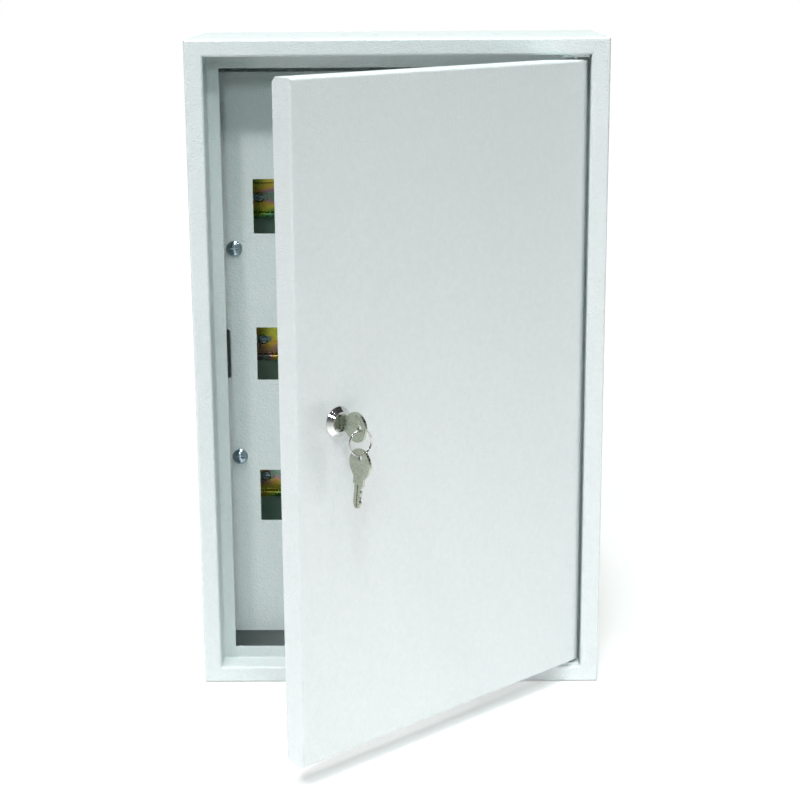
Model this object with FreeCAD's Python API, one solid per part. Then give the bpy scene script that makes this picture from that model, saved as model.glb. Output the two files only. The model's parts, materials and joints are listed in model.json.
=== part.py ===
import FreeCAD, Part
import math
import os
from FreeCAD import Placement, Rotation, Vector

# Steel wall enclosure for modular devices, with a lockable door that stands open.
# Millimetres. The origin is the centre of the back plane, X runs to the right,
# Y runs into the wall (so the front is at -Y) and Z runs up.

# Body of folded sheet
width = 335.0
height = 540.0
depth = 140.0
sheet = 1.2
bend = 0.8
side_flange = 15.0
top_flange = 13.5
rebate_depth = 21.0
rebate_width = 10.0
corner_radius = 2.0
back_flange = 12.0
back_corner = 3.0

# Wall fixing holes
wall_hole_dia = 7.0
wall_hole_from_side = 42.5
wall_hole_from_end = 45.0

# Cable knock-outs in the top and the bottom
knockout_count = 4
knockout_dia = 28.5
knockout_pitch = 62.0
knockout_slit = 0.8
knockout_web = 3.0

# Rows of modular devices: their middle lies a little above the body's
row_count = 3
row_pitch = 125.0
row_rise = 7.0

# Cover plate with a window for each row
cover_setback = 46.0
cover_sheet = 1.0
cover_overlap = 7.5
cover_end_gap = 4.5
window_from_edge = 30.0
window_height = 45.5
notch_reach = 8.0
notch_height = 42.0
notch_radius = 2.0

# Cover screws, brackets and nuts
cover_screw_from_edge = 13.5
cover_screw_from_middle = 90.0
cover_screw_dia = 6.0
cover_screw_length = 16.0
cover_head_dia = 13.0
cover_head_height = 4.2
cover_hole_dia = 7.0
bracket_sheet = 2.0
bracket_bend = 1.5
bracket_height = 24.0
bracket_leg = 38.0
bracket_past_screw = 9.7
nut_across_flats = 10.0
nut_thickness = 5.0

# DIN rails and the uprights that carry them
rail_setback = 50.0
rail_width = 35.0
rail_base = 27.0
rail_depth = 7.5
rail_sheet = 1.0
rail_end_gap = 31.3
rail_slot_length = 15.0
rail_slot_width = 6.2
rail_slot_pitch = 24.0
rail_slot_from_end = 10.5
upright_sheet = 1.5
upright_width = 28.0
upright_foot = 10.0
upright_past_rail = 27.5
rail_screw_dia = 5.0
rail_screw_length = 13.0
rail_head_dia = 9.0
rail_head_height = 3.2

# Earth studs
stud_dia = 6.0
stud_length = 24.0
stud_from_side = 17.3
stud_from_bottom = 63.8
washer_dia = 12.5
washer_thickness = 1.6
door_stud_length = 16.0
door_stud_from_side = 38.7
door_stud_from_bottom = 37.5

# Door
door_gap_side = 1.8
door_gap_end = 4.0
door_depth = 19.5
door_roll_radius = 8.0
door_roll_depth = 14.0
door_back_chamfer = 6.0
door_corner_clip = 3.3
door_open_angle = 42.0

# Hinges
pin_dia = 5.0
pin_from_edge = 10.0
pin_setback = 8.0
pin_below_ear = 8.5
pin_end_chamfer = 0.6
ear_thickness = 2.0
ear_length = 22.0
ear_depth = 17.0
ear_radius = 4.0
ear_from_rebate = 1.0
hinge_washer_dia = 10.0

# Screws: shares of the head's or the shank's own size
head_rim_share = 0.3
recess_arm_share = 0.56
recess_blade_share = 0.11
recess_depth_share = 0.5
tip_chamfer_share = 0.15

# Lock
lock_from_edge = 37.7
lock_z = 6.6
bezel_dia = 22.5
bezel_rim = 0.7
bezel_height = 4.5
bezel_face_dia = 15.8
barrel_dia = 18.0
barrel_flats = 16.0
barrel_length = 22.6
barrel_end_wall = 2.4
plug_dia = 13.0
plug_recess = 1.3
tail_dia = 8.0
lock_nut_across_flats = 24.0
lock_nut_thickness = 3.0
cam_thickness = 2.0
cam_width = 14.0
cam_length = 36.0
cam_square = 6.4
cam_from_barrel = 0.3
cam_screw_dia = 4.0
cam_screw_length = 8.0
cam_head_dia = 9.0
cam_head_height = 2.6

# Keys and their ring
key_thickness = 2.0
bow_dia = 22.0
bow_hole_dia = 5.0
bow_hole_from_rim = 6.4
collar_width = 10.6
collar_length = 5.5
blade_width = 8.0
blade_length = 18.0
tip_length = 3.2
tip_width = 2.8
groove_width = 1.3
groove_depth = 0.5
groove_places = [(-1.8, 1), (0.2, -1), (-3.4, -1)]
first_cut = 2.0
cut_depths = [1.7, 0.4, 1.0, 1.4, 0.2]
cut_flat_share = 0.3
tooth_drop = 0.6
key_stands_out = 25.0
keyway_depth = 18.0
ring_wire = 1.6
ring_dia = 18.4
ring_turn = 8.0
spare_tilt = 7.5

# Clearances between fitted pieces
pin_clearance = 0.075
screw_clearance = 0.1
barrel_clearance = 0.15
plug_clearance = 0.08
key_clearance = 0.2
ring_clearance = 0.2
washer_play = 0.1

# How far a cut runs past the surface that it opens, and a joined piece into its neighbour
past = 1.0
run_in = 0.5

# Places worked out from the sizes above
front = -depth
half_w = width / 2
half_h = height / 2
wall_x = half_w - sheet
wall_z = half_h - sheet
wall_hole_x = half_w - wall_hole_from_side
wall_hole_z = half_h - wall_hole_from_end
rebate_y = front + rebate_depth
opening_x = half_w - side_flange
opening_z = half_h - top_flange
row_heights = [row_rise + row_pitch * (row - (row_count - 1) / 2) for row in range(row_count)]
cover_y = front + cover_setback
cover_x = opening_x - rebate_width + cover_overlap
cover_z = opening_z - rebate_width - cover_end_gap
window_x = cover_x - window_from_edge
cover_screw_x = cover_x - cover_screw_from_edge
cover_screw_heights = [row_rise - cover_screw_from_middle, row_rise + cover_screw_from_middle]
bracket_y = cover_y + cover_sheet
rail_front_y = cover_y + rail_setback
rail_back_y = rail_front_y + rail_depth
rail_x = wall_x - rail_end_gap
slots_beside_middle = int((rail_x - rail_slot_from_end) // rail_slot_pitch)
fixing_x = rail_slot_pitch * slots_beside_middle
upright_length = row_heights[-1] - row_heights[0] + rail_width + 2 * upright_past_rail
door_x = opening_x - door_gap_side
door_z = opening_z - door_gap_end
pin_x = door_x - pin_from_edge
pin_y = front + pin_setback
lock_x = lock_from_edge - door_x
hole_drop = bow_hole_dia / 2 - ring_wire / 2 - ring_clearance

X = Vector(1, 0, 0)
Y = Vector(0, 1, 0)
Z = Vector(0, 0, 1)
CENTRE = Vector(0, 0, 0)


def rounded_line(points, radii):
    """Edges of an open line of 2D points whose inner corners are rounded by arcs."""
    edges = []
    start = points[0]
    for before, corner, after, radius in zip(points, points[1:], points[2:], radii):
        incoming = (corner - before).normalize()
        outgoing = (after - corner).normalize()
        half_turn = incoming.getAngle(outgoing) / 2
        reach = radius * math.tan(half_turn)
        arc_start = corner - incoming * reach
        arc_end = corner + outgoing * reach
        inward = (outgoing - incoming).normalize()
        middle = corner + inward * (radius / math.cos(half_turn) - radius)
        edges.append(Part.LineSegment(start, arc_start).toShape())
        edges.append(Part.Arc(arc_start, middle, arc_end).toShape())
        start = arc_end
    edges.append(Part.LineSegment(start, points[-1]).toShape())
    return edges


def folded_profile(points, thickness, inner_radius):
    """Section of a folded sheet in the XY plane.

    The points run along the sheet's skin. The thickness is laid to the left of the way
    they run, or to the right where it is negative.
    """
    skin = [Vector(u, v, 0) for u, v in points]
    runs = [(b - a).normalize() for a, b in zip(skin, skin[1:])]
    normals = [Vector(-run.y, run.x, 0) * thickness for run in runs]
    other = [skin[0] + normals[0]]
    for index in range(1, len(runs)):
        corner = normals[index - 1] + normals[index]
        scale = 2 * thickness * thickness / corner.dot(corner)
        other.append(skin[index] + corner * scale)
    other.append(skin[-1] + normals[-1])
    skin_radii = []
    other_radii = []
    for first, second in zip(runs, runs[1:]):
        turns_to_thickness = first.cross(second).z * thickness > 0
        outer_radius = inner_radius + abs(thickness)
        skin_radii.append(outer_radius if turns_to_thickness else inner_radius)
        other_radii.append(inner_radius if turns_to_thickness else outer_radius)
    edges = rounded_line(skin, skin_radii)
    edges.append(Part.LineSegment(skin[-1], other[-1]).toShape())
    edges += rounded_line(other[::-1], other_radii[::-1])
    edges.append(Part.LineSegment(other[0], skin[0]).toShape())
    return Part.Face(Part.Wire(edges))


def run_along_z(profile, length):
    """Extrude a plan section, drawn in X and Y, evenly about Z = 0."""
    solid = profile.extrude(Z * length)
    solid.translate(Z * (-length / 2))
    return solid


def run_along_x(profile, length):
    """Extrude a section drawn with Z first and Y second, evenly about X = 0."""
    turned = profile.copy()
    turned.transformShape(FreeCAD.Matrix(0, 0, 1, 0, 0, 1, 0, 0, 1, 0, 0, 0, 0, 0, 0, 1), True)
    solid = turned.extrude(X * length)
    solid.translate(X * (-length / 2))
    return solid


def box(x0, x1, y0, y1, z0, z1):
    return Part.makeBox(x1 - x0, y1 - y0, z1 - z0, Vector(x0, y0, z0))


def rod(diameter, start, end):
    return Part.makeCylinder(diameter / 2, (end - start).Length, start, end - start)


def hexagon(across_flats, start, end):
    """Hexagonal bar from start to end."""
    corner = across_flats / math.sqrt(3)
    points = []
    for step in range(7):
        turn = math.radians(60 * step)
        points.append(Vector(corner * math.cos(turn), corner * math.sin(turn), 0))
    bar = Part.Face(Part.makePolygon(points)).extrude(Z * (end - start).Length)
    bar.Placement = Placement(start, Rotation(Z, end - start))
    return bar


def nut(across_flats, bore, start, end):
    return hexagon(across_flats, start, end).cut(rod(bore, start, end))


def washer(outer, bore, start, end):
    return rod(outer, start, end).cut(rod(bore, start, end))


def slot(length, breadth, thickness):
    """Round-ended bar along X, pressed along Y, centred on the origin."""
    straight = (length - breadth) / 2
    bar = box(-straight, straight, -thickness / 2, thickness / 2, -breadth / 2, breadth / 2)
    for end in (-straight, straight):
        bar = bar.fuse(rod(breadth, Vector(end, -thickness / 2, 0), Vector(end, thickness / 2, 0)))
    return bar.removeSplitter()


def prism(points, start, along):
    """Prism with a closed outline, given as points, moved to start and extruded."""
    face = Part.Face(Part.makePolygon(points + points[:1]))
    face.translate(start)
    return face.extrude(along)


def mirrored(shape):
    return shape.mirror(CENTRE, X)


def both_sides(shape):
    return [shape, mirrored(shape)]


def domed_screw(head_dia, head_height, shank_dia, shank_length, seat):
    """Cross-recessed screw that points along +Y, with its head's underside at seat."""
    head_radius = head_dia / 2
    rim = head_height * head_rim_share
    dome_radius = (head_radius ** 2 + (head_height - rim) ** 2) / (2 * (head_height - rim))
    half_turn = math.asin(head_radius / dome_radius) / 2
    dome_middle = Vector(dome_radius * math.sin(half_turn),
                         dome_radius * (1 - math.cos(half_turn)) - head_height, 0)
    rim_top = Vector(head_radius, -rim, 0)
    tip_chamfer = shank_dia * tip_chamfer_share
    shank_radius = shank_dia / 2
    outline = [Part.Arc(Vector(0, -head_height, 0), dome_middle, rim_top).toShape()]
    corners = [rim_top, Vector(head_radius, 0, 0), Vector(shank_radius, 0, 0),
               Vector(shank_radius, shank_length - tip_chamfer, 0),
               Vector(shank_radius - tip_chamfer, shank_length, 0),
               Vector(0, shank_length, 0), Vector(0, -head_height, 0)]
    outline += [Part.LineSegment(a, b).toShape() for a, b in zip(corners, corners[1:])]
    screw = Part.Face(Part.Wire(outline)).revolve(CENTRE, Y, 360)
    arm = head_dia * recess_arm_share / 2
    blade = head_dia * recess_blade_share / 2
    floor = head_height * recess_depth_share - head_height
    for x, z in ((arm, blade), (blade, arm)):
        screw = screw.cut(box(-x, x, -head_height - past, floor, -z, z))
    screw.translate(seat)
    return screw


# Body

def body_envelope():
    """The body's outer block, with its four long corners rounded."""
    block = box(-half_w, half_w, front, 0, -half_h, half_h)
    long_edges = [edge for edge in block.Edges if abs(edge.tangentAt(0).y) > 0.5]
    return block.makeFillet(corner_radius, long_edges)


def mitre_prism(flange_u, flange_v, half_u, half_v):
    """Outline of one side between its two mitres, as u and v pairs in the front plane."""
    outer = (half_u + past, half_v + past * flange_v / flange_u)
    inner = (half_u - flange_u, half_v - flange_v)
    lip = (inner[0] - 2 * rebate_width, inner[1] - 2 * rebate_width)
    upper = [outer, inner, lip]
    lower = [(u, -v) for u, v in reversed(upper)]
    return upper + lower


def side_sheet(half_u, flange):
    """Section of a side from the back to the rebate's lip, as u and depth pairs."""
    return [(half_u, 0), (half_u, front), (half_u - flange, front),
            (half_u - flange, rebate_y), (half_u - flange - rebate_width, rebate_y)]


def right_side():
    section = folded_profile(side_sheet(half_w, side_flange), -sheet, bend)
    outline = mitre_prism(side_flange, top_flange, half_w, half_h)
    wedge = prism([Vector(u, 0, v) for u, v in outline], Y * (front - past), Y * (depth + 2 * past))
    return run_along_z(section, height).common(wedge).common(body_envelope())


def knockout(x, z):
    """Slit of one knock-out, with two webs that hold the disc."""
    centre = Vector(x, front / 2, z)
    through = Z * (2 * sheet)
    ring = rod(knockout_dia + knockout_slit, centre - through, centre + through)
    ring = ring.cut(rod(knockout_dia - knockout_slit, centre - through, centre + through))
    reach = knockout_dia
    web = box(-reach, reach, -knockout_web / 2, knockout_web / 2, -3 * sheet, 3 * sheet)
    web.translate(centre)
    return ring.cut(web)


def top_side():
    section = folded_profile(side_sheet(half_h, top_flange), -sheet, bend)
    outline = mitre_prism(top_flange, side_flange, half_h, half_w)
    wedge = prism([Vector(v, 0, u) for u, v in outline], Y * (front - past), Y * (depth + 2 * past))
    side = run_along_x(section, width).common(wedge).common(body_envelope())
    for index in range(knockout_count):
        x = knockout_pitch * (index - (knockout_count - 1) / 2)
        side = side.cut(knockout(x, wall_z + sheet / 2))
    return side


def back_panel():
    """Shallow pan that closes the back, its flanges inside the four sides."""
    pan = box(-wall_x, wall_x, -back_flange, 0, -wall_z, wall_z)
    hollow = box(sheet - wall_x, wall_x - sheet, -2 * back_flange, -sheet,
                 sheet - wall_z, wall_z - sheet)
    pan = round_pan(pan, back_corner, bend + sheet, 0)
    hollow = round_pan(hollow, back_corner - sheet, bend, -sheet)
    panel = pan.cut(hollow)
    for x in (-wall_hole_x, wall_hole_x):
        for z in (-wall_hole_z, wall_hole_z):
            panel = panel.cut(rod(wall_hole_dia, Vector(x, -back_flange, z), Vector(x, past, z)))
    return panel


def round_pan(block, upright_radius, floor_radius, floor_y):
    """Round a block's four edges along Y, then the edges of its floor at floor_y."""
    long_edges = [edge for edge in block.Edges if abs(edge.tangentAt(0).y) > 0.5]
    block = block.makeFillet(upright_radius, long_edges)
    floor_edges = [edge for edge in block.Edges if abs(edge.BoundBox.YMin - floor_y) < 1e-6]
    return block.makeFillet(floor_radius, floor_edges)


# Cover plate and what holds it

def cover_plate():
    """Flat plate with its windows, screw holes and the notch that clears the lock's cam."""
    plate = box(-cover_x, cover_x, cover_y, bracket_y, -cover_z, cover_z)
    ahead = cover_y - past
    behind = bracket_y + past
    for z in row_heights:
        plate = plate.cut(box(-window_x, window_x, ahead, behind,
                              z - window_height / 2, z + window_height / 2))
    for x in (-cover_screw_x, cover_screw_x):
        for z in cover_screw_heights:
            plate = plate.cut(rod(cover_hole_dia, Vector(x, ahead, z), Vector(x, behind, z)))
    notch = box(-cover_x - notch_reach, notch_reach - cover_x, ahead, behind,
                row_rise - notch_height / 2, row_rise + notch_height / 2)
    corners = [e for e in notch.Edges if abs(e.tangentAt(0).y) > 0.5]
    return plate.cut(notch.makeFillet(notch_radius, corners))


def cover_bracket(z):
    """Angle welded to the left side, whose tab carries the cover plate's edge."""
    tab_end = bracket_past_screw - cover_screw_x
    section = [(-wall_x, bracket_y + bracket_leg), (-wall_x, bracket_y), (tab_end, bracket_y)]
    bracket = run_along_z(folded_profile(section, bracket_sheet, bracket_bend), bracket_height)
    bracket.translate(Z * z)
    bore = cover_screw_dia + 2 * screw_clearance
    tab_back = bracket_y + bracket_sheet
    line = Vector(-cover_screw_x, 0, z)
    return bracket.cut(rod(bore, line + Y * (bracket_y - past), line + Y * (tab_back + past)))


def cover_nut(z):
    seat = Vector(-cover_screw_x, bracket_y + bracket_sheet, z)
    return nut(nut_across_flats, cover_screw_dia + 2 * screw_clearance, seat, seat + Y * nut_thickness)


def cover_screw(z):
    return domed_screw(cover_head_dia, cover_head_height, cover_screw_dia, cover_screw_length,
                       Vector(-cover_screw_x, cover_y, z))


def at_cover_corners(make):
    """The piece that make builds at the left, at both heights and on both sides."""
    pieces = []
    for z in cover_screw_heights:
        pieces += both_sides(make(z))
    return Part.makeCompound(pieces)


# Rails and uprights

def din_rail(z):
    lip_back = rail_front_y + rail_sheet
    half_base = rail_base / 2
    half_rail = rail_width / 2
    section = [(half_rail, lip_back), (half_base, lip_back), (half_base, rail_back_y),
               (-half_base, rail_back_y), (-half_base, lip_back), (-half_rail, lip_back)]
    rail = run_along_x(folded_profile(section, rail_sheet, bend), 2 * rail_x)
    for index in range(-slots_beside_middle, slots_beside_middle + 1):
        opening = slot(rail_slot_length, rail_slot_width, 3 * rail_sheet)
        opening.translate(Vector(rail_slot_pitch * index, rail_back_y - rail_sheet / 2, 0))
        rail = rail.cut(opening)
    rail.translate(Z * z)
    return rail


def left_upright():
    """Hat section welded to the back panel, with a threaded hole behind each rail."""
    web = upright_width / 2
    foot = web + upright_foot
    foot_y = -sheet - upright_sheet
    section = [(-foot, foot_y), (-web, foot_y), (-web, rail_back_y),
               (web, rail_back_y), (web, foot_y), (foot, foot_y)]
    upright = run_along_z(folded_profile(section, upright_sheet, bend), upright_length)
    upright.translate(Vector(-fixing_x, 0, row_rise))
    bore = rail_screw_dia + 2 * screw_clearance
    for z in row_heights:
        centre = Vector(-fixing_x, rail_back_y, z)
        upright = upright.cut(rod(bore, centre - Y, centre + Y * 2 * upright_sheet))
    return upright


def rail_screws():
    screws = []
    for z in row_heights:
        seat = Vector(-fixing_x, rail_back_y - rail_sheet, z)
        screws += both_sides(domed_screw(rail_head_dia, rail_head_height, rail_screw_dia,
                                         rail_screw_length, seat))
    return Part.makeCompound(screws)


# Earthing

def stud_stack(foot, along, length):
    """Welded stud, with a washer on each side of the terminal's place and a nut on both."""
    way = along.normalize()
    tip = foot + way * length
    stud = rod(stud_dia, foot, tip)
    bore = stud_dia + 2 * screw_clearance
    pieces = {"stud": stud, "washers": [], "nuts": []}
    height_now = 0.0
    for kind in ("nut", "washer", "washer", "nut"):
        tall = nut_thickness if kind == "nut" else washer_thickness
        if height_now + tall > length:
            break
        base = foot + way * height_now
        top = base + way * tall
        if kind == "nut":
            pieces["nuts"].append(nut(nut_across_flats, bore, base, top))
        else:
            pieces["washers"].append(washer(washer_dia, bore, base, top))
        height_now += tall
    return pieces


# Door, built closed and opened at the end

def door_panel():
    """Folded pan with a rolled hinge edge, pin holes and the hole for the lock."""
    back = front + door_depth
    fold = bend + sheet
    outer = door_block(0, fold, door_roll_radius, back)
    hollow = door_block(sheet, bend, door_roll_radius - sheet, back + past)
    door = outer.cut(hollow)
    roll_back = front + door_roll_depth
    edge = door_x - door_back_chamfer
    trim = [Vector(door_x + past, roll_back, 0), Vector(door_x, roll_back, 0), Vector(edge, back, 0),
            Vector(edge, back + past, 0), Vector(door_x + past, back + past, 0)]
    door = door.cut(prism(trim, Z * (-half_h), Z * height))
    for z in (-door_z, door_z):
        door = door.cut(hinge_corner_cut(z))
        door = door.cut(free_corner_clip(z, back))
    pin_hole = pin_dia + 2 * pin_clearance
    door = door.cut(rod(pin_hole, Vector(pin_x, pin_y, -half_h), Vector(pin_x, pin_y, half_h)))
    return door.cut(barrel_bar(barrel_clearance, front - past, front + 2 * sheet))


def door_block(inset, fold, roll, back):
    """Solid block inside the door's outline by inset, with the fold and roll of its skin."""
    skin_y = front + inset
    edge_x = door_x - inset
    edge_z = door_z - inset
    corners = [Vector(-edge_x, back, 0), Vector(-edge_x, skin_y, 0),
               Vector(edge_x, skin_y, 0), Vector(edge_x, back, 0)]
    plan = rounded_line(corners, [fold, roll])
    plan.append(Part.LineSegment(corners[-1], corners[0]).toShape())
    block = run_along_z(Part.Face(Part.Wire(plan)), 2 * edge_z)
    corners = [Vector(-edge_z, back, 0), Vector(-edge_z, skin_y, 0),
               Vector(edge_z, skin_y, 0), Vector(edge_z, back, 0)]
    elevation = rounded_line(corners, [fold, fold])
    elevation.append(Part.LineSegment(corners[-1], corners[0]).toShape())
    return block.common(run_along_x(Part.Face(Part.Wire(elevation)), 2 * door_x))


def hinge_corner_cut(z):
    """Waste outside the skin's rounded corner over the roll, ahead of the end return."""
    radius = door_roll_radius
    inner_x = door_x - radius
    inner_z = (door_z - radius) * math.copysign(1, z)
    outer_z = (door_z + past) * math.copysign(1, z)
    ahead = front - past
    behind = pin_y + sheet
    waste = box(inner_x, door_x + past, ahead, behind, min(inner_z, outer_z), max(inner_z, outer_z))
    corner = rod(2 * radius, Vector(inner_x, ahead, inner_z), Vector(inner_x, behind, inner_z))
    return waste.cut(corner)


def free_corner_clip(z, back):
    """Corner of the pan's free side, clipped where its two returns meet at the back."""
    up = math.copysign(1, z)
    corner = Vector(-door_x, back, z)
    reach = door_corner_clip
    away = corner + Vector(-reach, reach, up * reach)
    ends = [away + X * (4 * reach), away - Y * (4 * reach), away - Z * (up * 4 * reach)]
    faces = [Part.Face(Part.makePolygon([a, b, c, a])) for a, b, c in
             ((away, ends[0], ends[1]), (away, ends[1], ends[2]), (away, ends[2], ends[0]),
              (ends[0], ends[1], ends[2]))]
    return Part.makeSolid(Part.makeShell(faces))


def barrel_bar(clearance, start_y, end_y):
    """Round bar with two flats, the size of the lock's barrel plus a clearance."""
    bar = rod(barrel_dia + 2 * clearance, Vector(lock_x, start_y, lock_z), Vector(lock_x, end_y, lock_z))
    flat = barrel_flats / 2 + clearance
    return bar.common(box(lock_x - flat, lock_x + flat, start_y, end_y,
                          lock_z - barrel_dia, lock_z + barrel_dia))


# Hinges

def hinge_ear(side):
    """Ear welded flat inside the opening, above the door for side 1 and below it for -1."""
    face_z = opening_z * side
    low = min(face_z, face_z - ear_thickness * side)
    high = low + ear_thickness
    x_end = opening_x - sheet
    y_end = rebate_y - ear_from_rebate
    ear = box(x_end - ear_length, x_end, y_end - ear_depth, y_end, low, high)
    corners = [e for e in ear.Edges if abs(e.tangentAt(0).z) > 0.5 and e.BoundBox.XMax < pin_x]
    ear = ear.makeFillet(ear_radius, corners)
    bore = pin_dia + 2 * screw_clearance
    return ear.cut(rod(bore, Vector(pin_x, pin_y, low - past), Vector(pin_x, pin_y, high + past)))


def hinge_pin(side):
    """Pin from the ear into the door's end return, with chamfered ends."""
    ear_face = Vector(pin_x, pin_y, opening_z * side)
    pin = rod(pin_dia, ear_face, ear_face - Z * ((ear_thickness + pin_below_ear) * side))
    rims = [edge for edge in pin.Edges if edge.Curve.TypeId == "Part::GeomCircle"]
    return pin.makeChamfer(pin_end_chamfer, rims)


def hinge_washer():
    base = Vector(pin_x, pin_y, ear_thickness - opening_z)
    top = Vector(pin_x, pin_y, -door_z - washer_play)
    return washer(hinge_washer_dia, pin_dia + 2 * screw_clearance, base, top)


# Lock

def out_of_door(distance):
    """Point on the lock's axis that far in front of the closed door's face."""
    return Vector(lock_x, front - distance, lock_z)


def lock_housing():
    """Conical bezel and flatted barrel, bored for the plug, with an end wall."""
    barrel = barrel_bar(0, front - run_in, front + barrel_length)
    rim = rod(bezel_dia, out_of_door(bezel_rim), out_of_door(0))
    cone = Part.makeCone(bezel_dia / 2, bezel_face_dia / 2, bezel_height - bezel_rim,
                         out_of_door(bezel_rim), -Y)
    housing = rim.fuse(cone).fuse(barrel).removeSplitter()
    bore = plug_dia + 2 * plug_clearance
    tail_bore = tail_dia + 2 * plug_clearance
    shoulder = barrel_end_wall - barrel_length
    housing = housing.cut(rod(bore, out_of_door(shoulder), out_of_door(bezel_height + past)))
    return housing.cut(rod(tail_bore, out_of_door(-barrel_length - past), out_of_door(0)))


def lock_nut():
    start = out_of_door(-sheet)
    bore = barrel_dia + 2 * screw_clearance
    return nut(lock_nut_across_flats, bore, start, start + Y * lock_nut_thickness)


def lock_plug():
    """Plug with its keyway, the tail behind it and the square that drives the cam."""
    shoulder = barrel_end_wall + plug_clearance - barrel_length
    cam_front = -barrel_length - cam_from_barrel
    face = bezel_height - plug_recess
    plug = rod(plug_dia, out_of_door(shoulder), out_of_door(face))
    plug = plug.fuse(rod(tail_dia, out_of_door(cam_front), out_of_door(shoulder)))
    drive = box(-cam_square / 2, cam_square / 2, 0, cam_thickness, -cam_square / 2, cam_square / 2)
    drive.translate(out_of_door(cam_front))
    plug = plug.fuse(drive).removeSplitter()
    half_way = blade_width / 2 + key_clearance
    keyway = box(-key_thickness / 2 - key_clearance, key_thickness / 2 + key_clearance,
                 -past, keyway_depth, -half_way, half_way)
    keyway.translate(out_of_door(face))
    thread = cam_screw_dia + 2 * screw_clearance
    cam_back = cam_front - cam_thickness
    hole_end = cam_back + cam_screw_length + run_in
    screw_hole = rod(thread, out_of_door(cam_back - past), out_of_door(hole_end))
    return plug.cut(keyway).cut(screw_hole)


def lock_cam():
    """Tongue that hangs down when the lock is open, with its square hole on the drive."""
    tail = out_of_door(-barrel_length - cam_from_barrel)
    half = cam_width / 2
    tongue = box(-half, half, 0, cam_thickness, -cam_length, 0)
    tongue = tongue.fuse(rod(cam_width, CENTRE, Y * cam_thickness)).removeSplitter()
    tip = [e for e in tongue.Edges
           if abs(e.tangentAt(0).y) > 0.5 and e.BoundBox.ZMax < half - cam_length]
    tongue = tongue.makeFillet(half / 2, tip)
    square = cam_square / 2
    tongue = tongue.cut(box(-square, square, -past, cam_thickness + past, -square, square))
    tongue.translate(tail)
    return tongue


def cam_screw():
    """Screw into the plug's tail, its head behind the cam."""
    screw = domed_screw(cam_head_dia, cam_head_height, cam_screw_dia, cam_screw_length, CENTRE)
    screw.rotate(CENTRE, Z, 180)
    screw.translate(out_of_door(-barrel_length - cam_from_barrel - cam_thickness))
    return screw


# Keys: drawn with the bow's hole at the origin, the blade along -X and the cuts at +Y

def key_blank():
    bow_radius = bow_dia / 2
    bow_centre = bow_hole_from_rim - bow_radius
    collar_start = bow_centre - bow_radius
    collar_end = collar_start - collar_length
    collar = collar_width / 2
    face = Z * (-key_thickness / 2)
    bow = Part.makeCylinder(bow_radius, key_thickness, Vector(bow_centre, 0, 0) + face)
    reach = math.hypot(bow_radius, collar)
    lean = math.atan2(collar, -bow_radius) - math.acos(bow_radius / reach)
    touch = Vector(bow_centre + bow_radius * math.cos(lean), bow_radius * math.sin(lean), 0)
    cheek = [Vector(collar_start, collar, 0), touch, Vector(touch.x, -touch.y, 0),
             Vector(collar_start, -collar, 0), Vector(collar_end, -collar, 0),
             Vector(collar_end, collar, 0)]
    key = bow.fuse(prism(cheek, face, Z * key_thickness))
    key = key.fuse(key_blade(collar_end)).removeSplitter()
    return key.cut(Part.makeCylinder(bow_hole_dia / 2, key_thickness, face))


def key_blade(start_x):
    """Blade with its cuts along one edge, a pointed tip and grooves in both faces."""
    half = blade_width / 2
    root_x = start_x + run_in
    tip_x = start_x - blade_length
    tooth_x = start_x - first_cut
    pitch = (blade_length - first_cut - tip_length) / len(cut_depths)
    outline = [Vector(root_x, -half, 0), Vector(root_x, half, 0), Vector(tooth_x, half, 0)]
    for depth_here in cut_depths:
        for share in (0.5 - cut_flat_share / 2, 0.5 + cut_flat_share / 2):
            outline.append(Vector(tooth_x - pitch * share, half - depth_here, 0))
        tooth_x -= pitch
        outline.append(Vector(tooth_x, half - tooth_drop, 0))
    outline += [Vector(tip_x, tip_width / 2, 0), Vector(tip_x, -tip_width / 2, 0),
                Vector(tip_x + tip_length, -half, 0)]
    face = key_thickness / 2
    blade = prism(outline, Z * -face, Z * key_thickness)
    for middle, side in groove_places:
        low = middle - groove_width / 2
        base = face * side
        floor = base - groove_depth * side
        blade = blade.cut(box(tip_x - past, root_x, low, low + groove_width,
                              min(base, floor), max(base, floor)))
    return blade


def working_key():
    """Key in the lock: blade along +Y in the plug, cuts upwards, hole on the lock's axis."""
    key = key_blank()
    key.Placement = Placement(out_of_door(key_stands_out),
                              Rotation(-Y, Z, -X, "XYZ"))
    return key


def ring_centre():
    return out_of_door(key_stands_out) - Z * (hole_drop + ring_dia / 2)


def key_ring():
    """Wire ring that hangs in the working key's hole, turned a little out of the door's plane."""
    turned = Vector(math.sin(math.radians(ring_turn)), math.cos(math.radians(ring_turn)), 0)
    return Part.makeTorus(ring_dia / 2, ring_wire / 2, ring_centre(), turned)


def spare_hole():
    return ring_centre() - Z * (ring_dia / 2 + hole_drop)


def spare_key():
    """Key that hangs by its hole from the ring, cuts outwards, tipped towards the door."""
    key = key_blank()
    key.Placement = Placement(spare_hole(), Rotation(Z, -Y, X, "XYZ"))
    key.rotate(spare_hole(), X, spare_tilt)
    return key


def opened(shape):
    """A piece of the closed door, swung out with it about the hinge pins."""
    swung = shape.copy()
    swung.rotate(Vector(pin_x, pin_y, 0), Z, door_open_angle)
    return swung


# All sub-parts

parts = {}
parts["right_side"] = right_side()
parts["left_side"] = mirrored(parts["right_side"])
parts["top_side"] = top_side()
parts["bottom_side"] = parts["top_side"].mirror(CENTRE, Z)
parts["back_panel"] = back_panel()

parts["cover_plate"] = cover_plate()
parts["cover_brackets"] = at_cover_corners(cover_bracket)
parts["cover_nuts"] = at_cover_corners(cover_nut)
parts["cover_screws"] = at_cover_corners(cover_screw)

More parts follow.
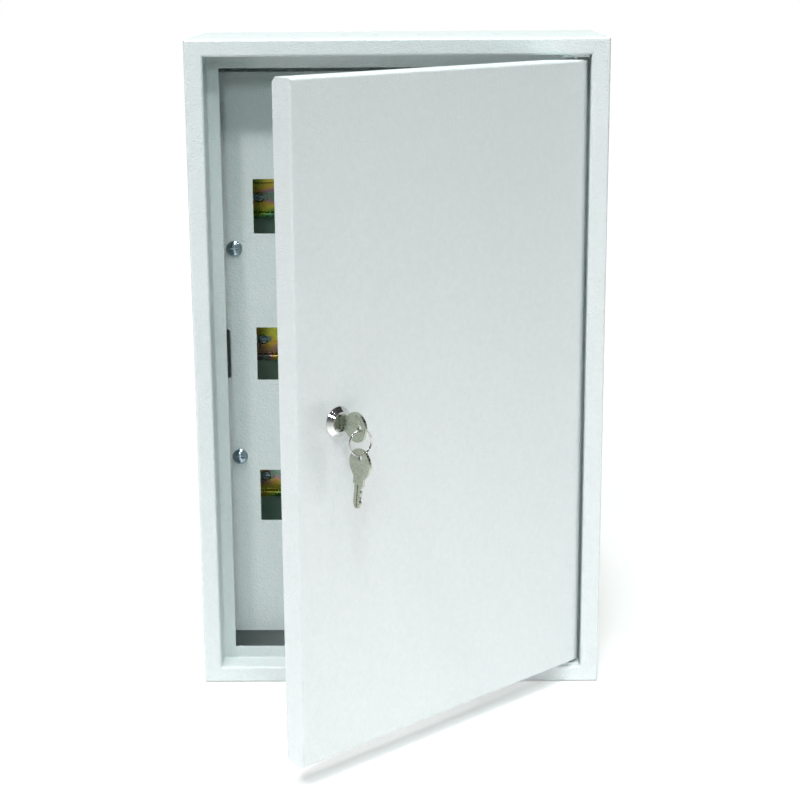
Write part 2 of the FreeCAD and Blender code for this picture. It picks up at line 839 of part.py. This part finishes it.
for name, z in zip(("bottom", "middle", "top"), row_heights):
    parts["din_rail_" + name] = din_rail(z)
parts["left_upright"] = left_upright()
parts["right_upright"] = mirrored(parts["left_upright"])
parts["rail_screws"] = rail_screws()

stud_foot = Vector(wall_x - stud_from_side, -sheet, stud_from_bottom - wall_z)
earth = stud_stack(stud_foot, -Y, stud_length)
parts["earth_stud"] = earth["stud"]
parts["earth_washers"] = Part.makeCompound(earth["washers"])
parts["earth_nuts"] = Part.makeCompound(earth["nuts"])

for name, side in (("upper", 1), ("lower", -1)):
    parts["hinge_ear_" + name] = hinge_ear(side)
    parts["hinge_pin_" + name] = hinge_pin(side)
parts["hinge_washer"] = hinge_washer()

stud_foot = Vector(door_x - door_stud_from_side, front + sheet, door_stud_from_bottom - door_z)
door_earth = stud_stack(stud_foot, Y, door_stud_length)
door_pieces = {
    "door_panel": door_panel(),
    "door_earth_stud": door_earth["stud"],
    "door_earth_washers": Part.makeCompound(door_earth["washers"]),
    "door_earth_nuts": Part.makeCompound(door_earth["nuts"]),
    "lock_housing": lock_housing(),
    "lock_nut": lock_nut(),
    "lock_plug": lock_plug(),
    "lock_cam": lock_cam(),
    "cam_screw": cam_screw(),
    "working_key": working_key(),
    "key_ring": key_ring(),
    "spare_key": spare_key(),
}
for name, shape in door_pieces.items():
    parts[name] = opened(shape)

os.makedirs("parts", exist_ok=True)
for name, shape in parts.items():
    shape.exportStep("parts/" + name + ".step")
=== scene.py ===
import json
import math
import bmesh
import bpy
from mathutils import Euler, Matrix, Vector

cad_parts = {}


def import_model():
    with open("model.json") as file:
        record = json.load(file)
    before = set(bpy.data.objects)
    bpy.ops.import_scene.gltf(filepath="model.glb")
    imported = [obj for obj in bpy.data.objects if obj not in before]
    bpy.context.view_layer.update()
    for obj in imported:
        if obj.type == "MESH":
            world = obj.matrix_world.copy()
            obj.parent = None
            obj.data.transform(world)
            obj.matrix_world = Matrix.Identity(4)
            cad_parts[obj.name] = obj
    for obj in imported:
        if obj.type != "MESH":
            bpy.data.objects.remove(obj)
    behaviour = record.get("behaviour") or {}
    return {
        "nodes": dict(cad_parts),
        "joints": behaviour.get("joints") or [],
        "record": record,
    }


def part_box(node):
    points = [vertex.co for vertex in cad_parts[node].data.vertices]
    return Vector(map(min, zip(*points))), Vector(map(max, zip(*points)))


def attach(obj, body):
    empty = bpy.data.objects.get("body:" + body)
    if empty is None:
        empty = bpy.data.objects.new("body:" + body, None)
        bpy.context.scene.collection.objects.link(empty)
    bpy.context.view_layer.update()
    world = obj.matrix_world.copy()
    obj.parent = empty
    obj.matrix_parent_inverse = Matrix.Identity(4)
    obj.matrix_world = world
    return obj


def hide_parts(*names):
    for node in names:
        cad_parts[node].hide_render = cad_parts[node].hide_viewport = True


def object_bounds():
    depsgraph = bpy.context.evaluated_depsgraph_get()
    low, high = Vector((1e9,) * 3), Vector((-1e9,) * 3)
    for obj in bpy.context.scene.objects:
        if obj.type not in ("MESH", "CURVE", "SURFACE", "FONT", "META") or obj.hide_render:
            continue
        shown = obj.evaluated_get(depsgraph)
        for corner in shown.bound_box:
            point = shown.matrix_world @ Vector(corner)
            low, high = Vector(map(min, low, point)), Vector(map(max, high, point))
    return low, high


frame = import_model()
cad_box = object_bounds()
nodes = frame["nodes"]

MM = 0.001
full_turn = 2 * math.pi
upright = Vector((0.0, 0.0, 1.0))
white = (1.0, 1.0, 1.0)

# Camera: place in metres, angles in degrees, and where its axis meets the picture, in pixels
camera_place = Vector((0.0119, -1.4620, 0.3265))
camera_yaw = -0.626
camera_pitch = -13.055
camera_roll = 0.412
focal_pixels = 1666.7
picture_size = 800
axis_pixel_x = 395.6
axis_pixel_y = 350.5
sensor_width = 36.0

# Lamps: compass angle from the front towards +X and height angle in degrees, distance and
# size in metres, power in watts, colour
lamps = {
    "left_steep": (-34.0, 53.5, 2.4, 0.16, 19.0, (1.0, 0.88, 0.94)),
    "right_steep": (48.0, 50.0, 2.4, 0.16, 4.2, (1.0, 0.95, 0.95)),
    "front_steep": (5.0, 60.0, 2.4, 0.30, 14.0, (0.96, 0.98, 1.0)),
    "front_high": (-8.0, 36.0, 2.4, 0.30, 8.5, (0.86, 0.98, 1.0)),
    "overhead": (0.0, 85.0, 2.4, 1.20, 43.0, (1.0, 0.96, 0.98)),
    "overhead_small": (0.0, 75.0, 2.4, 0.50, 10.5, (1.0, 0.95, 0.97)),
    "low_left": (-70.0, -10.0, 0.9, 0.30, 3.6, (1.0, 0.86, 0.92)),
    "low_right": (70.0, -10.0, 0.9, 0.30, 1.9, (1.0, 0.86, 0.92)),
    "low_front": (15.0, -16.0, 0.6, 0.40, 1.1, (1.0, 0.78, 0.85)),
}
lamp_aim = Vector((0.0, -0.14, 0.0))

# Surroundings: the sky in metal is heights from 0 to 1 with their brightness, and the floor turns
# from its near colour and glow to its far ones over the reach, in metres from the middle
world_strength = 0.07
world_colour = (0.30, 1.0, 0.60)
sky_in_metal = [(0.0, 0.42), (0.22, 0.18), (0.55, 0.06), (1.0, 0.05)]
floor_size = 40.0
floor_drop = 0.5 * MM
floor_roughness = 0.9
floor_colour = (0.86, 0.88, 0.87)
floor_colour_far = (0.20, 0.21, 0.20)
floor_reach = (0.40, 1.00)
floor_glow = (0.25, 1.0)
floor_glow_in_metal = 0.42

# Finishes: a noise is its width in millimetres, its detail and its roughness, and a relief is the
# width and detail of its noise, its depth in millimetres and its strength. Tones are spread
# between the drift's two values of a noise.
drift_start = 0.3
drift_end = 0.7

# Powder coat
paint_tones = [(0.608, 0.703, 0.682), (0.650, 0.722, 0.712)]
paint_tone_noise = (5.0, 3.0, 0.6)
paint_shine_noise = (4.0, 2.0)
paint_roughness = (0.38, 0.50)
orange_peel = (6.0, 2.0, 0.50, 0.25)
pebbles = (2.2, 1.0, 0.60, 0.50)
fine_pebbles = (1.1, 1.0, 0.60, 0.70)

# Zinc films: colours in the order that the film's thickness gives, and roughness
zinc_films = {
    "yellow_zinc": ([(0.08, 0.22, 0.11), (0.20, 0.36, 0.07), (0.50, 0.52, 0.07),
                     (0.58, 0.38, 0.08), (0.36, 0.22, 0.28), (0.16, 0.28, 0.20)], (0.20, 0.32)),
    # painted shade: a darker, duller olive film for the uprights deep in the body
    "olive_zinc": ([(0.34, 0.50, 0.42), (0.38, 0.52, 0.44), (0.44, 0.54, 0.44)], (0.40, 0.50)),
}
film_noise = (34.0, 1.0, 0.5)
film_stretch = (1.0, 1.0, 0.6)
film_shine_noise = (3.0, 2.0)
rolled_grain = (0.8, 1.0, 0.005, 0.2)
grain_stretch = (0.1, 1.0, 1.0)

# Platings: two tones and roughness
platings = {
    "blue_zinc": ([(0.36, 0.47, 0.54), (0.48, 0.59, 0.65)], (0.12, 0.22)),
    "copper_plate": ([(0.68, 0.36, 0.22), (0.78, 0.46, 0.30)], (0.24, 0.40)),
    "pin_steel": ([(0.50, 0.51, 0.52), (0.60, 0.61, 0.62)], (0.22, 0.34)),
    "lock_chrome": ([(0.66, 0.67, 0.66), (0.76, 0.77, 0.76)], (0.05, 0.12)),
    "plug_nickel": ([(0.30, 0.33, 0.30), (0.42, 0.45, 0.40)], (0.14, 0.26)),
    "ring_wire": ([(0.60, 0.61, 0.60), (0.72, 0.72, 0.71)], (0.06, 0.14)),
    "key_nickel": ([(0.42, 0.45, 0.37), (0.50, 0.53, 0.44)], (0.20, 0.34)),
}
plating_tone_noise = (3.0, 3.0)
plating_shine_noise = (1.2, 4.0, 0.6)
plating_wear = (0.5, 3.0, 0.01, 0.2)
# Painted shade in the grooves and corners of plated metal: its tone is darkened towards this colour
# where little is open within the reach. The darkening is full below the first share of openness and gone
# above the second.
groove_shade_reach = 0.7 * MM
groove_shade_samples = 16
groove_shade_tone = (0.30, 0.29, 0.25)
groove_shade_full = 0.45
groove_shade_gone = 0.85

# Softened edges: widths in millimetres, and the least angle in degrees of an edge that is sharp
edge_widths = {"working_key": 0.25, "spare_key": 0.25, "lock_housing": 0.15, "lock_plug": 0.15,
               "cover_screws": 0.2, "rail_screws": 0.15, "cam_screw": 0.15}
edge_segments = 2
sharp_angle = 40.0

# Split ring: the half width of a turn, out from the ring's axis and along it, is a share of half
# the ring's thickness; the wire crosses from one turn to the other over the jog
ring_thickness = 1.6 * MM
ring_share_out = 0.8
ring_share_along = 0.49
ring_jog = math.radians(30)
ring_start = math.radians(20)
ring_steps = 200
ring_sides = 12

# Threads: the ridge's half width is a share of the pitch, and the barrel's flats are this far
# from its axis
thread_pitch = 1.0 * MM
thread_depth = 0.3 * MM
thread_share = 0.35
thread_steps = 30
thread_sides = 8
barrel_flat = 8.0 * MM


class Graph:
    """The node tree of a material or a world, with short ways to add nodes and to wire them."""

    def __init__(self, owner):
        owner.use_nodes = True
        self.owner = owner
        self.tree = owner.node_tree

    def add(self, kind, **settings):
        node = self.tree.nodes.new("ShaderNode" + kind)
        for key, value in settings.items():
            setattr(node, key, value)
        return node

    def wire(self, source, target):
        self.tree.links.new(source, target)

    def ramp(self, source, stops):
        """Colours at places from 0 to 1, along the source."""
        node = self.add("ValToRGB")
        elements = node.color_ramp.elements
        while len(elements) < len(stops):
            elements.new(0.5)
        for element, (place, colour) in zip(elements, stops):
            element.position = place
            element.color = (*colour, 1.0)
        self.wire(source, node.inputs["Fac"])
        return node.outputs["Color"]

    def scaled(self, source, low, high, start=0.0, end=1.0):
        """The source's start to end brought to low to high."""
        node = self.add("MapRange")
        node.inputs["From Min"].default_value = start
        node.inputs["From Max"].default_value = end
        node.inputs["To Min"].default_value = low
        node.inputs["To Max"].default_value = high
        self.wire(source, node.inputs["Value"])
        return node.outputs["Result"]

    def mixed(self, share, first, second):
        """The first shader's output where the share is 0, and the second's where it is 1."""
        node = self.add("MixShader")
        self.wire(share, node.inputs["Fac"])
        self.wire(first, node.inputs[1])
        self.wire(second, node.inputs[2])
        return node.outputs[0]


class Finish(Graph):
    """A material's node tree, whose patterns lie on the object."""

    def __init__(self, name):
        super().__init__(bpy.data.materials.new(name))
        self.shader = self.tree.nodes["Principled BSDF"]
        self.place = self.add("TexCoord").outputs["Object"]

    def noise(self, width, detail, roughness=0.5, stretch=(1.0, 1.0, 1.0)):
        """Noise whose features are about width millimetres wide, stretched along the axes."""
        mapping = self.add("Mapping")
        mapping.inputs["Scale"].default_value = [1.0 / (width * MM * along) for along in stretch]
        self.wire(self.place, mapping.inputs["Vector"])
        node = self.add("TexNoise")
        node.inputs["Scale"].default_value = 1.0
        node.inputs["Detail"].default_value = detail
        node.inputs["Roughness"].default_value = roughness
        self.wire(mapping.outputs["Vector"], node.inputs["Vector"])
        return node.outputs["Fac"]

    def drift(self, noise, tones):
        """Tones spread evenly over the values that a noise mostly has."""
        step = (drift_end - drift_start) / (len(tones) - 1)
        stops = [(drift_start + step * place, tone) for place, tone in enumerate(tones)]
        return self.ramp(noise, stops)

    def relief(self, width, detail, depth, strength, under=None, stretch=(1.0, 1.0, 1.0)):
        """Relief of a noise, over the one under it."""
        node = self.add("Bump")
        node.inputs["Strength"].default_value = strength
        node.inputs["Distance"].default_value = depth * MM
        self.wire(self.noise(width, detail, stretch=stretch), node.inputs["Height"])
        if under:
            self.wire(under, node.inputs["Normal"])
        return node.outputs["Normal"]

    def done(self, tone, rough, normal, metallic):
        """Wires what varies to the shader and gives the material."""
        self.wire(tone, self.shader.inputs["Base Color"])
        self.wire(rough, self.shader.inputs["Roughness"])
        self.wire(normal, self.shader.inputs["Normal"])
        self.shader.inputs["Metallic"].default_value = metallic
        return self.owner


def powder_coat(name):
    """Light grey powder coat with a pebbled skin and a slight drift of tone."""
    graph = Finish(name)
    tone = graph.drift(graph.noise(*paint_tone_noise), paint_tones)
    rough = graph.scaled(graph.noise(*paint_shine_noise), *paint_roughness)
    skin = None
    for layer in (orange_peel, pebbles, fine_pebbles):
        skin = graph.relief(*layer, under=skin)
    return graph.done(tone, rough, skin, metallic=0.0)


def zinc_film(name, tones, roughness):
    """Zinc under a passivation film, whose thickness turns its colour over the sheet."""
    graph = Finish(name)
    tone = graph.drift(graph.noise(*film_noise, film_stretch), tones)
    rough = graph.scaled(graph.noise(*film_shine_noise), *roughness)
    grain = graph.relief(*rolled_grain, stretch=grain_stretch)
    return graph.done(tone, rough, grain, metallic=1.0)


def plated(name, tones, roughness):
    """Plated metal whose tone drifts a little, with painted shade darkening its grooves and corners."""
    graph = Finish(name)
    tone = graph.drift(graph.noise(*plating_tone_noise), tones)
    # Painted shade: the tone is darkened where the surface is enclosed, in grooves and corners
    openness = graph.add("AmbientOcclusion", samples=groove_shade_samples, only_local=True)
    openness.inputs["Distance"].default_value = groove_shade_reach
    groove_shade = graph.ramp(openness.outputs["AO"], [(groove_shade_full, groove_shade_tone), (groove_shade_gone, white)])
    shaded = graph.add("MixRGB", blend_type="MULTIPLY")
    shaded.inputs["Fac"].default_value = 1.0
    graph.wire(tone, shaded.inputs["Color1"])
    graph.wire(groove_shade, shaded.inputs["Color2"])
    rough = graph.scaled(graph.noise(*plating_shine_noise), *roughness)
    wear = graph.relief(*plating_wear)
    return graph.done(shaded.outputs["Color"], rough, wear, metallic=1.0)


finishes = {"powder_coat": powder_coat("powder_coat")}
for name, settings in zinc_films.items():
    finishes[name] = zinc_film(name, *settings)
for name, settings in platings.items():
    finishes[name] = plated(name, *settings)

# The uprights lie deep in the body; their darker, duller olive film is painted shade
finish_of = {part["node"]: part["material_slot"] for part in frame["record"]["subparts"]}
finish_of.update(left_upright="olive_zinc", right_upright="olive_zinc")
for name, node in nodes.items():
    node.data.materials.clear()
    node.data.materials.append(finishes[finish_of[name]])


def soften(node, width):
    """Rounds a node's sharp edges a little, as its real edges are."""
    bevel = node.modifiers.new("softened_edges", "BEVEL")
    bevel.width = width
    bevel.segments = edge_segments
    bevel.limit_method = "ANGLE"
    bevel.angle_limit = math.radians(sharp_angle)


for name, width in edge_widths.items():
    soften(nodes[name], width * MM)


def swept(name, path, spokes, axis, half_out, half_along, sides):
    """Bar of oval section along a path, which reaches half_out along a spoke and half_along the axis."""
    mesh = bmesh.new()
    rows = []
    for place, spoke in zip(path, spokes):
        row = []
        for side in range(sides):
            turn = full_turn * side / sides
            offset = spoke * (half_out * math.cos(turn)) + axis * (half_along * math.sin(turn))
            row.append(mesh.verts.new(place + offset))
        rows.append(row)
    for row, after in zip(rows, rows[1:]):
        for side in range(sides):
            after_side = (side + 1) % sides
            mesh.faces.new((row[side], row[after_side], after[after_side], after[side]))
    mesh.faces.new(rows[0][::-1])
    mesh.faces.new(rows[-1])
    bmesh.ops.recalc_face_normals(mesh, faces=mesh.faces)
    for face in mesh.faces:
        face.smooth = len(face.verts) == 4
    data = bpy.data.meshes.new(name)
    mesh.to_mesh(data)
    mesh.free()
    piece = bpy.data.objects.new(name, data)
    bpy.context.scene.collection.objects.link(piece)
    return piece


def split_ring():
    """Two turns of oval wire side by side, set by the box of the plain ring that they replace."""
    low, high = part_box("key_ring")
    centre = (low + high) / 2
    half = (high - low) / 2
    wire = ring_thickness / 2
    radius = half.z - wire
    heading = math.atan2(half.y - wire, half.x - wire)
    level = Vector((math.cos(heading), math.sin(heading), 0.0))
    axis = level.cross(upright)
    length = 2 * full_turn - ring_jog
    path = []
    spokes = []
    for step in range(ring_steps + 1):
        turn = length * step / ring_steps
        moved = min(max((turn - full_turn + ring_jog) / ring_jog, 0.0), 1.0)
        eased = moved * moved * (3 - 2 * moved)
        spoke = level * math.cos(turn + ring_start) + upright * math.sin(turn + ring_start)
        path.append(centre + spoke * radius + axis * (wire * (eased - 0.5)))
        spokes.append(spoke)
    half_out = wire * ring_share_out
    half_along = wire * ring_share_along
    ring = swept("split_ring", path, spokes, axis, half_out, half_along, ring_sides)
    ring.data.materials.append(finishes["ring_wire"])
    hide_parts("key_ring")
    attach(ring, "key_ring")


def thread(name, centre, axis, start, end, radius, body, slot, flat=None):
    """Thread's ridge round a bar, which sinks into the bar where the bar has flats."""
    level = axis.cross(upright).normalized()
    rising = level.cross(axis)
    steps = int((end - start) / thread_pitch * thread_steps)
    path = []
    spokes = []
    for step in range(steps + 1):
        turn = full_turn * step / thread_steps
        spoke = level * math.cos(turn) + rising * math.sin(turn)
        reach = radius - thread_depth / 2
        if flat and reach * abs(math.cos(turn)) > flat - thread_depth:
            reach = flat / abs(math.cos(turn)) - 2 * thread_depth
        path.append(centre + axis * (start + (end - start) * step / steps) + spoke * reach)
        spokes.append(spoke)
    ridge = swept(name, path, spokes, axis, thread_depth, thread_pitch * thread_share, thread_sides)
    ridge.data.materials.append(finishes[slot])
    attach(ridge, body)


def reach_along(node, centre, axis):
    """How far a node goes along an axis from a centre, both ways."""
    places = [(vertex.co - centre).dot(axis) for vertex in nodes[node].data.vertices]
    return min(places), max(places)


def radius_about(node, centre, axis, past):
    """A node's radius about an axis, among its points past a place along it."""
    spokes = [vertex.co - centre for vertex in nodes[node].data.vertices]
    return max((spoke - axis * spoke.dot(axis)).length for spoke in spokes if spoke.dot(axis) > past)


def threads():
    """Threads of the lock's barrel and of the earth studs, in and behind their nuts."""
    turning = next(joint for joint in frame["joints"] if joint["name"] == "lock_turn")
    inward = Vector(turning["axis"]).normalized()
    middle = Vector(turning["pos_m"])
    start = reach_along("lock_nut", middle, inward)[0] + thread_pitch / 2
    end = reach_along("lock_housing", middle, inward)[1]
    radius = radius_about("lock_housing", middle, inward, end - thread_pitch)
    thread("barrel_thread", middle, inward, start, end - thread_pitch / 2, radius,
           "door", "lock_chrome", barrel_flat)
    studs = (("earth_stud", "enclosure", Vector((0.0, -1.0, 0.0))), ("door_earth_stud", "door", inward))
    for node, body, axis in studs:
        low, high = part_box(node)
        middle = (low + high) / 2
        start, end = reach_along(node, middle, axis)
        radius = radius_about(node, middle, axis, start)
        thread(node + "_thread", middle, axis, start + thread_pitch, end - thread_pitch / 2, radius,
               body, "copper_plate")


def floor():
    """White floor, which glows for the camera and for reflections, more so farther out."""
    low, high = cad_box
    bpy.ops.mesh.primitive_plane_add(size=floor_size, location=(0.0, 0.0, low.z - floor_drop))
    plane = bpy.context.object
    plane.name = "floor"
    graph = Finish("floor")
    graph.shader.inputs["Roughness"].default_value = floor_roughness
    away = graph.add("VectorMath", operation="LENGTH")
    graph.wire(graph.place, away.inputs[0])
    share = graph.scaled(away.outputs["Value"], 0.0, 1.0, *floor_reach)
    tone = graph.ramp(share, [(0.0, floor_colour), (1.0, floor_colour_far)])
    graph.wire(tone, graph.shader.inputs["Base Color"])
    ray = graph.add("LightPath")
    seen = graph.add("Math", operation="MULTIPLY_ADD")
    seen.inputs[1].default_value = floor_glow_in_metal
    graph.wire(ray.outputs["Is Glossy Ray"], seen.inputs[0])
    graph.wire(ray.outputs["Is Camera Ray"], seen.inputs[2])
    strength = graph.add("Math", operation="MULTIPLY")
    graph.wire(seen.outputs[0], strength.inputs[0])
    graph.wire(graph.scaled(share, *floor_glow), strength.inputs[1])
    glow = graph.add("Emission")
    glow.inputs["Color"].default_value = (*white, 1.0)
    graph.wire(strength.outputs[0], glow.inputs["Strength"])
    both = graph.add("AddShader")
    graph.wire(graph.shader.outputs[0], both.inputs[0])
    graph.wire(glow.outputs[0], both.inputs[1])
    graph.wire(both.outputs[0], graph.tree.nodes["Material Output"].inputs["Surface"])
    plane.data.materials.append(graph.owner)


def world():
    """Faint even light, a white backdrop for the camera and a studio's shades for metal."""
    graph = Graph(bpy.data.worlds.new("studio"))
    bpy.context.scene.world = graph.owner
    light = graph.tree.nodes["Background"]
    light.inputs["Color"].default_value = (*world_colour, 1.0)
    light.inputs["Strength"].default_value = world_strength
    way = graph.add("SeparateXYZ")
    graph.wire(graph.add("TexCoord").outputs["Generated"], way.inputs[0])
    greys = [(height, (bright, bright, bright)) for height, bright in sky_in_metal]
    shades = graph.add("Background")
    graph.wire(graph.ramp(way.outputs["Z"], greys), shades.inputs["Color"])
    backdrop = graph.add("Background")
    backdrop.inputs["Color"].default_value = (*white, 1.0)
    ray = graph.add("LightPath")
    unseen = graph.mixed(ray.outputs["Is Glossy Ray"], light.outputs[0], shades.outputs[0])
    surface = graph.mixed(ray.outputs["Is Camera Ray"], unseen, backdrop.outputs[0])
    graph.wire(surface, graph.tree.nodes["World Output"].inputs["Surface"])


def add_lamp(name, compass, height, distance, size, power, colour):
    """Square lamp that faces its aim; only lamps above the horizon show in metal."""
    turn = math.radians(compass)
    rise = math.radians(height)
    way = Vector((math.sin(turn) * math.cos(rise), -math.cos(turn) * math.cos(rise), math.sin(rise)))
    light = bpy.data.lights.new(name, "AREA")
    light.shape = "SQUARE"
    light.size = size
    light.energy = power
    light.color = colour
    lamp = bpy.data.objects.new(name, light)
    lamp.visible_camera = False
    lamp.visible_glossy = height > 0
    lamp.location = lamp_aim + way * distance
    lamp.rotation_euler = (-way).to_track_quat("-Z", "Y").to_euler()
    bpy.context.scene.collection.objects.link(lamp)


def add_camera():
    yaw, pitch, roll = (math.radians(angle) for angle in (camera_yaw, camera_pitch, camera_roll))
    lens = bpy.data.cameras.new("camera")
    lens.sensor_width = sensor_width
    lens.lens = focal_pixels / picture_size * sensor_width
    lens.shift_x = (picture_size / 2 - axis_pixel_x) / picture_size
    lens.shift_y = (axis_pixel_y - picture_size / 2) / picture_size
    camera = bpy.data.objects.new("camera", lens)
    turned = Euler((math.pi / 2 + pitch, 0.0, -yaw)).to_matrix() @ Matrix.Rotation(-roll, 3, "Z")
    camera.rotation_euler = turned.to_euler()
    camera.location = camera_place
    bpy.context.scene.collection.objects.link(camera)
    bpy.context.scene.camera = camera


split_ring()
threads()
floor()
world()
for name, settings in lamps.items():
    add_lamp(name, *settings)
add_camera()
bpy.context.scene.view_settings.view_transform = "Standard"
